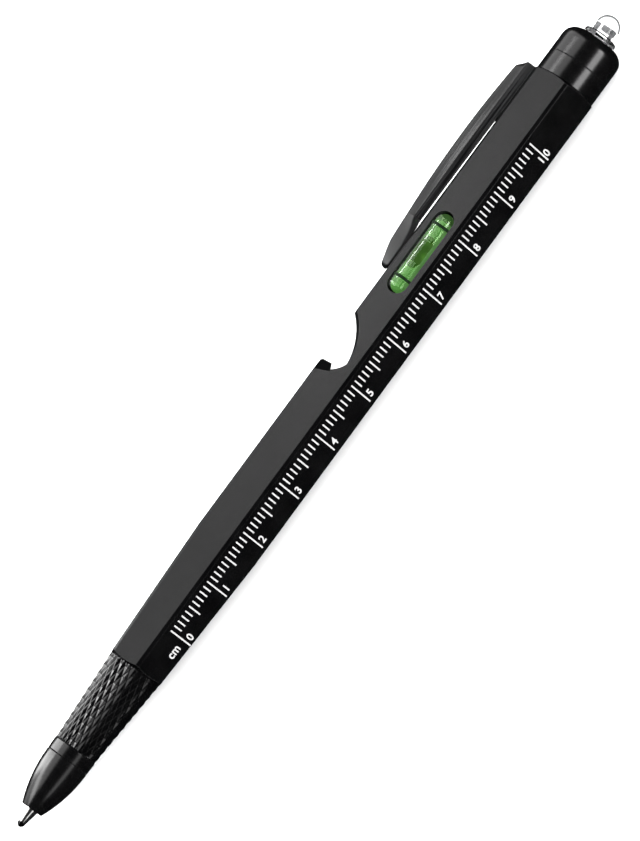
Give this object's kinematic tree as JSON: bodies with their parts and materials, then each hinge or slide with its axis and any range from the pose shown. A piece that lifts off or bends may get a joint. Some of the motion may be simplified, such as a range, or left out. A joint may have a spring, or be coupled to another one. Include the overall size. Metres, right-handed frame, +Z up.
{
  "type": "multi tool pen",
  "caption": "Hexagonal black metal pen with a ruler, spirit level, bottle opener notch, pocket clip, twist nose and a lamp in its turning end cap.",
  "frame": {"origin": "on the barrel flat the pen rests on, under the pen's axis, half way along the pen", "axes": "+X along the pen from the writing tip to the lamp, +Z up out of the flat that carries the level, the ruler flat faces -Y and up, the clip flat faces +Y and up"},
  "size_m": [0.1672, 0.015, 0.0126],
  "materials": {
    "black_metal": "satin black anodised",
    "ruler_ink": "printed white ink",
    "bright_steel": "bright nickel",
    "ball_carbide": "polished carbide",
    "brass": "plain",
    "drive_plastic": "acetal",
    "sleeve_plastic": "insulating tube",
    "level_acrylic": "clear green acrylic",
    "level_line_paint": "black paint",
    "level_air": "bubble in the liquid",
    "seal_rubber": "nitrile",
    "pen_ink": "black ink paste",
    "lamp_clear": "water clear",
    "lamp_phosphor": "phosphor",
    "board_laminate": "circuit board"
  },
  "bodies": {
    "barrel": {"barrel": "black_metal", "ruler_marks": "ruler_ink", "grip_section": "black_metal", "key_bush": "drive_plastic", "level_tube": "level_acrylic", "level_lines": "level_line_paint", "clip_root": "black_metal", "clip_pins": "bright_steel", "light_collar": "black_metal", "battery_sleeve": "sleeve_plastic", "button_cells": "bright_steel", "contact_spring": "bright_steel"},
    "nose": {"nose_cone": "black_metal", "nose_seal": "seal_rubber", "drive_tube": "drive_plastic"},
    "refill": {"refill_tip": "bright_steel", "refill_tube": "brass", "ink_column": "pen_ink", "refill_holder": "drive_plastic"},
    "ball": {"writing_ball": "ball_carbide"},
    "clip": {"clip_arm": "black_metal"},
    "end_cap": {"end_cap": "black_metal", "cap_seal": "seal_rubber", "lamp_lens": "lamp_clear", "lamp_leads": "bright_steel", "lamp_chip": "lamp_phosphor", "lamp_board": "board_laminate", "board_stud": "brass"},
    "bubble": {"level_bubble": "level_air"}
  },
  "joints": [
    {"name": "nose_turn", "type": "hinge", "parent": "barrel", "child": "nose", "pos_m": [-0.0702, 0, 0.00575], "axis": [1, 0, 0], "range_deg": [0, 180]},
    {"name": "refill_slide", "type": "slide", "parent": "barrel", "child": "refill", "axis": [1, 0, 0], "range_m": [0, 0.0042]},
    {"name": "ball_roll", "type": "hinge", "parent": "refill", "child": "ball", "pos_m": [-0.0831, 0, 0.00575], "axis": [0, 1, 0], "continuous": true},
    {"name": "clip_flex", "type": "hinge", "parent": "barrel", "child": "clip", "pos_m": [0.0578, 0.00789, 0.0103], "axis": [0, 0.5, -0.866], "range_deg": [0, 4], "stiffness_Nm_per_rad": 0.1, "springref_deg": -2.86},
    {"name": "cap_turn", "type": "hinge", "parent": "barrel", "child": "end_cap", "pos_m": [0.0729, 0, 0.00575], "axis": [1, 0, 0], "range_deg": [0, 90]},
    {"name": "bubble_slide", "type": "slide", "parent": "barrel", "child": "bubble", "axis": [1, 0, 0], "range_m": [-0.0044, 0.0044]}
  ],
  "couplings": [
    {"joint": "nose_turn", "follows": "refill_slide", "rad_per_m": 747.99}
  ]
}
